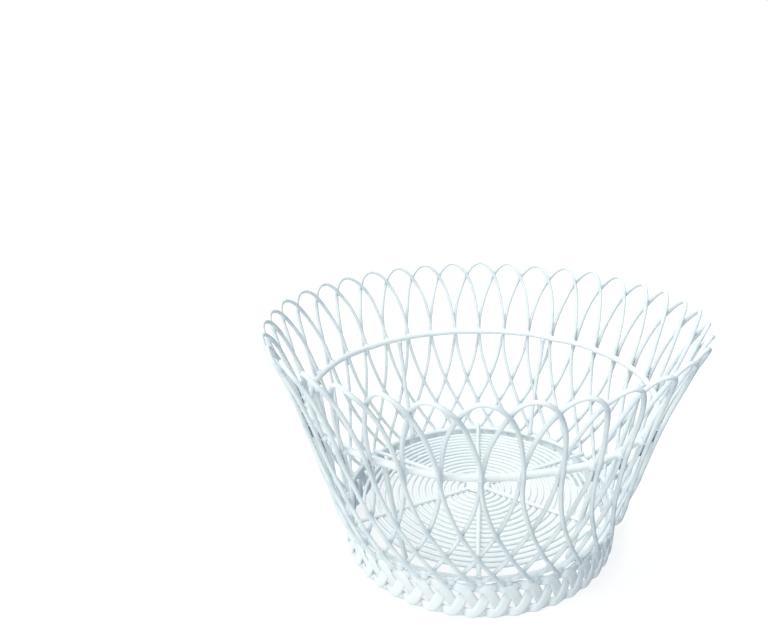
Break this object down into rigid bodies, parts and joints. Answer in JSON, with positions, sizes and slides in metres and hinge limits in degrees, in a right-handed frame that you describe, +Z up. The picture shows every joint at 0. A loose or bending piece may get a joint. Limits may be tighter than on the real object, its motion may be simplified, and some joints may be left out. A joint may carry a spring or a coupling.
{
  "type": "wire basket",
  "caption": "Round flared basket of crossed wire hoops with an inner ring, straight struts, a spiral wire base and a plaited foot.",
  "frame": {"origin": "on the table, under the centre of the basket, at the lowest faces of the plaited foot", "axes": "+Z up along the basket's axis, from the foot to the open rim; +Y through the top of one hoop"},
  "size_m": [0.3042, 0.3042, 0.1795],
  "materials": {
    "wall_white": "satin white lacquer on round steel wire, pooled a little at the crossings",
    "base_white": "satin white lacquer on the spiral, spokes and boss",
    "foot_white": "thicker satin white lacquer over the plaited strands"
  },
  "bodies": {
    "root": {"hoop_01": "wall_white", "hoop_02": "wall_white", "hoop_03": "wall_white", "hoop_04": "wall_white", "hoop_05": "wall_white", "hoop_06": "wall_white", "hoop_07": "wall_white", "hoop_08": "wall_white", "hoop_09": "wall_white", "hoop_10": "wall_white", "hoop_11": "wall_white", "hoop_12": "wall_white", "hoop_13": "wall_white", "hoop_14": "wall_white", "hoop_15": "wall_white", "hoop_16": "wall_white", "hoop_17": "wall_white", "hoop_18": "wall_white", "hoop_19": "wall_white", "hoop_20": "wall_white", "hoop_21": "wall_white", "hoop_22": "wall_white", "hoop_23": "wall_white", "hoop_24": "wall_white", "hoop_25": "wall_white", "hoop_26": "wall_white", "hoop_27": "wall_white", "hoop_28": "wall_white", "hoop_29": "wall_white", "hoop_30": "wall_white", "hoop_31": "wall_white", "hoop_32": "wall_white", "hoop_33": "wall_white", "hoop_34": "wall_white", "hoop_35": "wall_white", "hoop_36": "wall_white", "upper_ring": "wall_white", "strut_1": "wall_white", "strut_2": "wall_white", "strut_3": "wall_white", "strut_4": "wall_white", "strut_5": "wall_white", "strut_6": "wall_white", "base_edge_ring": "base_white", "base_spiral": "base_white", "spoke_1": "base_white", "spoke_2": "base_white", "spoke_3": "base_white", "spoke_4": "base_white", "spoke_5": "base_white", "spoke_6": "base_white", "base_boss": "base_white", "plait_strand_1": "foot_white", "plait_strand_2": "foot_white", "plait_strand_3": "foot_white"}
  },
  "joints": []
}
